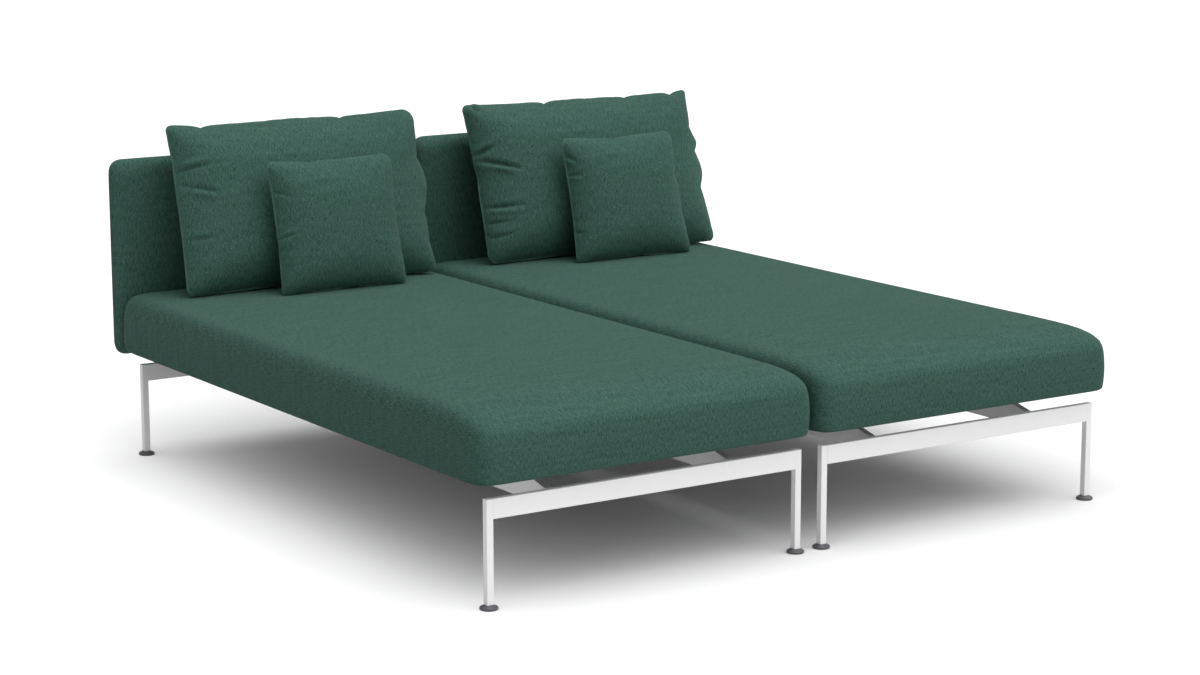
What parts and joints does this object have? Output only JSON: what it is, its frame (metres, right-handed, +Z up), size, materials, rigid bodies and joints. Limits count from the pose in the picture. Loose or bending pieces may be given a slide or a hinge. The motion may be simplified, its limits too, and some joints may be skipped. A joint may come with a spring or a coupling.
{
  "type": "double chaise lounger",
  "caption": "Double outdoor chaise lounger: padded chaises side by side on slim square metal legs, with thick fabric seat cushions, low padded backrests and loose pillows.",
  "frame": {"origin": "on the floor, at the centre of the bounding box's bottom face: midway between the chaises, and midway between the seat cushions' front and the backrests' rear", "axes": "+X across, from the left chaise to the right one as seen from the foot end; +Y from the foot end to the backrests; +Z up"},
  "size_m": [1.642, 1.7032, 0.7829],
  "materials": {
    "frame_paint": "satin",
    "glide_steel": "satin",
    "glide_plastic": "satin",
    "insert_plastic": "matte",
    "deck_panel": "matte",
    "back_board": "matte",
    "foam": "matte",
    "cushion_fabric": "matte",
    "fastener_steel": "satin"
  },
  "bodies": {
    "frame": {"left_chaise_front_rail": "frame_paint", "left_chaise_back_rail": "frame_paint", "left_chaise_left_beam": "frame_paint", "left_chaise_left_back_post": "frame_paint", "left_chaise_right_beam": "frame_paint", "left_chaise_right_back_post": "frame_paint", "left_chaise_leg_inserts": "insert_plastic", "left_chaise_seat_deck": "deck_panel", "left_chaise_back_panel": "back_board", "left_chaise_back_foam": "foam", "left_chaise_back_cover": "cushion_fabric", "left_chaise_screws": "fastener_steel", "left_chaise_front_left_leg": "frame_paint", "left_chaise_front_right_leg": "frame_paint", "left_chaise_back_left_leg": "frame_paint", "left_chaise_back_right_leg": "frame_paint", "right_chaise_front_rail": "frame_paint", "right_chaise_back_rail": "frame_paint", "right_chaise_left_beam": "frame_paint", "right_chaise_left_back_post": "frame_paint", "right_chaise_right_beam": "frame_paint", "right_chaise_right_back_post": "frame_paint", "right_chaise_leg_inserts": "insert_plastic", "right_chaise_seat_deck": "deck_panel", "right_chaise_back_panel": "back_board", "right_chaise_back_foam": "foam", "right_chaise_back_cover": "cushion_fabric", "right_chaise_screws": "fastener_steel", "right_chaise_front_left_leg": "frame_paint", "right_chaise_front_right_leg": "frame_paint", "right_chaise_back_left_leg": "frame_paint", "right_chaise_back_right_leg": "frame_paint", "front_joining_plate": "frame_paint", "back_joining_plate": "frame_paint"},
    "left_chaise_front_left_stud": {"left_chaise_front_left_glide_stud": "glide_steel"},
    "left_chaise_front_left_pad": {"left_chaise_front_left_glide_pad": "glide_plastic"},
    "left_chaise_front_right_stud": {"left_chaise_front_right_glide_stud": "glide_steel"},
    "left_chaise_front_right_pad": {"left_chaise_front_right_glide_pad": "glide_plastic"},
    "left_chaise_back_left_stud": {"left_chaise_back_left_glide_stud": "glide_steel"},
    "left_chaise_back_left_pad": {"left_chaise_back_left_glide_pad": "glide_plastic"},
    "left_chaise_back_right_stud": {"left_chaise_back_right_glide_stud": "glide_steel"},
    "left_chaise_back_right_pad": {"left_chaise_back_right_glide_pad": "glide_plastic"},
    "left_chaise_seat": {"left_chaise_seat_foam": "foam", "left_chaise_seat_cover": "cushion_fabric"},
    "left_chaise_back_pillow": {"left_chaise_back_pillow": "cushion_fabric"},
    "left_chaise_scatter_pillow": {"left_chaise_scatter_pillow": "cushion_fabric"},
    "right_chaise_front_left_stud": {"right_chaise_front_left_glide_stud": "glide_steel"},
    "right_chaise_front_left_pad": {"right_chaise_front_left_glide_pad": "glide_plastic"},
    "right_chaise_front_right_stud": {"right_chaise_front_right_glide_stud": "glide_steel"},
    "right_chaise_front_right_pad": {"right_chaise_front_right_glide_pad": "glide_plastic"},
    "right_chaise_back_left_stud": {"right_chaise_back_left_glide_stud": "glide_steel"},
    "right_chaise_back_left_pad": {"right_chaise_back_left_glide_pad": "glide_plastic"},
    "right_chaise_back_right_stud": {"right_chaise_back_right_glide_stud": "glide_steel"},
    "right_chaise_back_right_pad": {"right_chaise_back_right_glide_pad": "glide_plastic"},
    "right_chaise_seat": {"right_chaise_seat_foam": "foam", "right_chaise_seat_cover": "cushion_fabric"},
    "right_chaise_back_pillow": {"right_chaise_back_pillow": "cushion_fabric"},
    "right_chaise_scatter_pillow": {"right_chaise_scatter_pillow": "cushion_fabric"}
  },
  "joints": [
    {"name": "left_chaise_front_left_glide_travel", "type": "slide", "parent": "frame", "child": "left_chaise_front_left_stud", "axis": [0, 0, -1], "range_m": [0, 0.012]},
    {"name": "left_chaise_front_left_glide_turn", "type": "hinge", "parent": "left_chaise_front_left_stud", "child": "left_chaise_front_left_pad", "pos_m": [-0.779, -0.81815, 0], "axis": [0, 0, -1], "range_deg": [0, 3456]},
    {"name": "left_chaise_front_right_glide_travel", "type": "slide", "parent": "frame", "child": "left_chaise_front_right_stud", "axis": [0, 0, -1], "range_m": [0, 0.012]},
    {"name": "left_chaise_front_right_glide_turn", "type": "hinge", "parent": "left_chaise_front_right_stud", "child": "left_chaise_front_right_pad", "pos_m": [-0.034, -0.81815, 0], "axis": [0, 0, -1], "range_deg": [0, 3456]},
    {"name": "left_chaise_back_left_glide_travel", "type": "slide", "parent": "frame", "child": "left_chaise_back_left_stud", "axis": [0, 0, -1], "range_m": [0, 0.012]},
    {"name": "left_chaise_back_left_glide_turn", "type": "hinge", "parent": "left_chaise_back_left_stud", "child": "left_chaise_back_left_pad", "pos_m": [-0.779, 0.75185, 0], "axis": [0, 0, -1], "range_deg": [0, 3456]},
    {"name": "left_chaise_back_right_glide_travel", "type": "slide", "parent": "frame", "child": "left_chaise_back_right_stud", "axis": [0, 0, -1], "range_m": [0, 0.012]},
    {"name": "left_chaise_back_right_glide_turn", "type": "hinge", "parent": "left_chaise_back_right_stud", "child": "left_chaise_back_right_pad", "pos_m": [-0.034, 0.75185, 0], "axis": [0, 0, -1], "range_deg": [0, 3456]},
    {"name": "left_chaise_seat_lift", "type": "slide", "parent": "frame", "child": "left_chaise_seat", "axis": [0, 0, 1], "range_m": [0, 0.3]},
    {"name": "left_chaise_back_pillow_lift", "type": "slide", "parent": "left_chaise_seat", "child": "left_chaise_back_pillow", "axis": [0, 0, 1], "range_m": [0, 0.3]},
    {"name": "left_chaise_scatter_pillow_lift", "type": "slide", "parent": "left_chaise_back_pillow", "child": "left_chaise_scatter_pillow", "axis": [0, 0, 1], "range_m": [0, 0.3]},
    {"name": "right_chaise_front_left_glide_travel", "type": "slide", "parent": "frame", "child": "right_chaise_front_left_stud", "axis": [0, 0, -1], "range_m": [0, 0.012]},
    {"name": "right_chaise_front_left_glide_turn", "type": "hinge", "parent": "right_chaise_front_left_stud", "child": "right_chaise_front_left_pad", "pos_m": [0.034, -0.81815, 0], "axis": [0, 0, -1], "range_deg": [0, 3456]},
    {"name": "right_chaise_front_right_glide_travel", "type": "slide", "parent": "frame", "child": "right_chaise_front_right_stud", "axis": [0, 0, -1], "range_m": [0, 0.012]},
    {"name": "right_chaise_front_right_glide_turn", "type": "hinge", "parent": "right_chaise_front_right_stud", "child": "right_chaise_front_right_pad", "pos_m": [0.779, -0.81815, 0], "axis": [0, 0, -1], "range_deg": [0, 3456]},
    {"name": "right_chaise_back_left_glide_travel", "type": "slide", "parent": "frame", "child": "right_chaise_back_left_stud", "axis": [0, 0, -1], "range_m": [0, 0.012]},
    {"name": "right_chaise_back_left_glide_turn", "type": "hinge", "parent": "right_chaise_back_left_stud", "child": "right_chaise_back_left_pad", "pos_m": [0.034, 0.75185, 0], "axis": [0, 0, -1], "range_deg": [0, 3456]},
    {"name": "right_chaise_back_right_glide_travel", "type": "slide", "parent": "frame", "child": "right_chaise_back_right_stud", "axis": [0, 0, -1], "range_m": [0, 0.012]},
    {"name": "right_chaise_back_right_glide_turn", "type": "hinge", "parent": "right_chaise_back_right_stud", "child": "right_chaise_back_right_pad", "pos_m": [0.779, 0.75185, 0], "axis": [0, 0, -1], "range_deg": [0, 3456]},
    {"name": "right_chaise_seat_lift", "type": "slide", "parent": "frame", "child": "right_chaise_seat", "axis": [0, 0, 1], "range_m": [0, 0.3]},
    {"name": "right_chaise_back_pillow_lift", "type": "slide", "parent": "right_chaise_seat", "child": "right_chaise_back_pillow", "axis": [0, 0, 1], "range_m": [0, 0.3]},
    {"name": "right_chaise_scatter_pillow_lift", "type": "slide", "parent": "right_chaise_back_pillow", "child": "right_chaise_scatter_pillow", "axis": [0, 0, 1], "range_m": [0, 0.3]}
  ],
  "couplings": [
    {"joint": "left_chaise_front_left_glide_travel", "follows": "left_chaise_front_left_glide_turn", "m_per_rad": 0.00019894},
    {"joint": "left_chaise_front_right_glide_travel", "follows": "left_chaise_front_right_glide_turn", "m_per_rad": 0.00019894},
    {"joint": "left_chaise_back_left_glide_travel", "follows": "left_chaise_back_left_glide_turn", "m_per_rad": 0.00019894},
    {"joint": "left_chaise_back_right_glide_travel", "follows": "left_chaise_back_right_glide_turn", "m_per_rad": 0.00019894},
    {"joint": "right_chaise_front_left_glide_travel", "follows": "right_chaise_front_left_glide_turn", "m_per_rad": 0.00019894},
    {"joint": "right_chaise_front_right_glide_travel", "follows": "right_chaise_front_right_glide_turn", "m_per_rad": 0.00019894},
    {"joint": "right_chaise_back_left_glide_travel", "follows": "right_chaise_back_left_glide_turn", "m_per_rad": 0.00019894},
    {"joint": "right_chaise_back_right_glide_travel", "follows": "right_chaise_back_right_glide_turn", "m_per_rad": 0.00019894}
  ]
}
